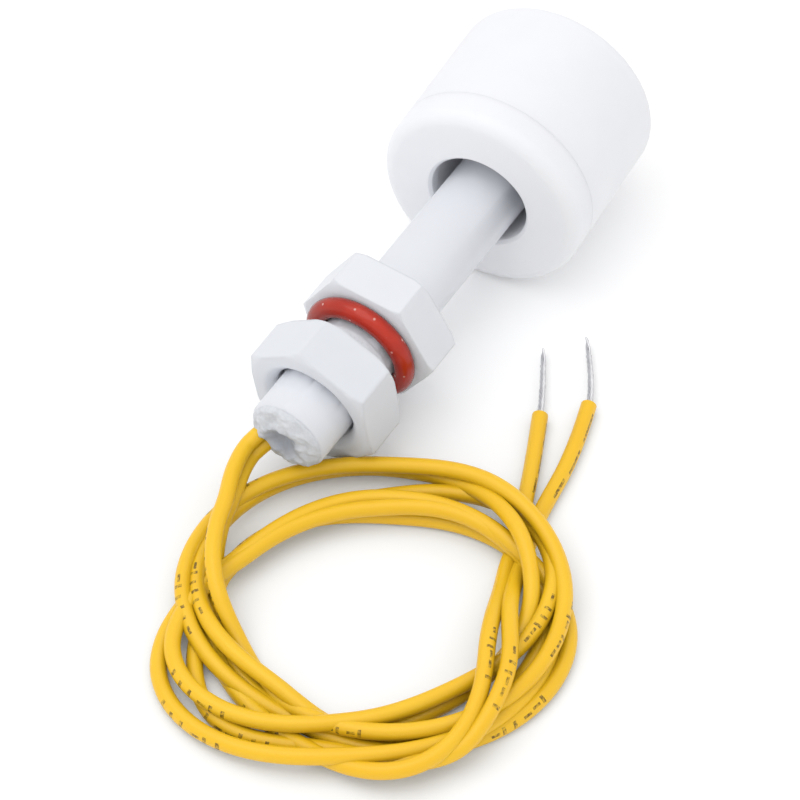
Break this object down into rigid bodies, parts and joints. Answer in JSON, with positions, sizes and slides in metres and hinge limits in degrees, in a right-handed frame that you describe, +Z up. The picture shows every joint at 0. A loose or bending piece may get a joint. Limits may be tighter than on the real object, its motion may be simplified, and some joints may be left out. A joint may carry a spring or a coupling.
{
  "type": "float level switch",
  "caption": "Liquid level switch: a hollow float slides on a threaded, hex-flanged stem with a sealing ring and clamping nut; two thin leads lie in a loose coil.",
  "frame": {"origin": "on the surface the switch lies on, under the middle of the box round the switch without its leads", "axes": "+Z up from the surface; +X along the stem's floor line, from the threaded end to the float; +Y completes the right-handed frame"},
  "size_m": [0.0949, 0.0525, 0.0244],
  "materials": {
    "white_pp": "satin, slightly milky",
    "float_pp": "satin, slightly milky",
    "white_potting": "rough cast resin",
    "red_silicone": "smooth, slight sheen",
    "lead_yellow": "satin insulation",
    "tinned_copper": "tinned strands",
    "solder": "dull solder",
    "reed_metal": "plain",
    "reed_glass": "clear, greenish",
    "clear_sleeve": "milky sleeve",
    "ferrite": "sintered"
  },
  "bodies": {
    "switch": {"stem_body": "white_pp", "o_ring": "red_silicone", "stop_clip": "white_pp", "potting": "white_potting", "reed_glass": "reed_glass", "reed_near": "reed_metal", "reed_far": "reed_metal", "return_sleeve": "clear_sleeve", "inner_lead_a": "lead_yellow", "inner_lead_b": "lead_yellow", "core_a": "tinned_copper", "core_b": "tinned_copper", "joint_a": "solder", "joint_b": "solder", "joint_sleeve_a": "clear_sleeve", "joint_sleeve_b": "clear_sleeve", "lead_a_exit": "lead_yellow", "lead_b_exit": "lead_yellow", "lead_coil": "lead_yellow", "lead_a_tail": "lead_yellow", "lead_b_tail": "lead_yellow", "lead_a_tip": "tinned_copper", "lead_b_tip": "tinned_copper"},
    "float": {"float_cap": "float_pp", "float_shell": "float_pp", "ring_magnet": "ferrite"},
    "nut": {"hex_nut": "white_pp"}
  },
  "joints": [
    {"name": "float_slide", "type": "slide", "parent": "switch", "child": "float", "axis": [-0.9971, 0, -0.0758], "range_m": [0, 0.0154]},
    {"name": "nut_travel", "type": "slide", "parent": "switch", "child": "nut", "axis": [0.9971, 0, 0.0758], "range_m": [0, 0.0025]}
  ]
}
